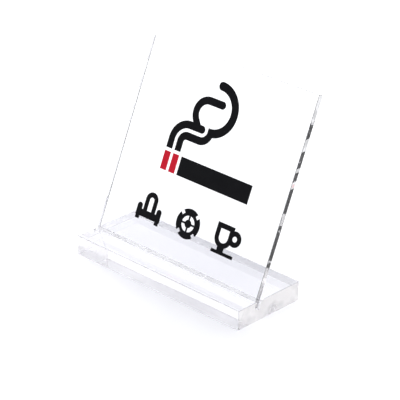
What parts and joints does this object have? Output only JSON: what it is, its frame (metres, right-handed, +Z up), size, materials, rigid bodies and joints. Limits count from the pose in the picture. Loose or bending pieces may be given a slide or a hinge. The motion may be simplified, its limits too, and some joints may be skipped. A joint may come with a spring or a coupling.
{
  "type": "smoking area table sign",
  "caption": "Clear acrylic table sign: a panel leaning back in a slotted clear block, with a cigarette and smoke picture over a row of marks in cut film.",
  "frame": {"origin": "centre of the flat underside of the base block", "axes": "+X along the sign to the right as its front is seen, +Y from front to back, +Z up; the panel leans back towards +Y"},
  "size_m": [0.105, 0.0517, 0.1013],
  "materials": {
    "clear_acrylic_block": "clear acrylic block with polished edges",
    "clear_acrylic_sheet": "clear acrylic sheet with polished edges",
    "black_film": "satin black cut film",
    "red_film": "satin red cut film"
  },
  "bodies": {
    "root": {"base": "clear_acrylic_block", "panel": "clear_acrylic_sheet", "cigarette_bar": "black_film", "inner_stripe": "red_film", "outer_stripe": "red_film", "inner_smoke": "black_film", "outer_smoke": "black_film", "armchair_mark": "black_film", "ashtray_mark": "black_film", "cup_mark": "black_film"}
  },
  "joints": []
}
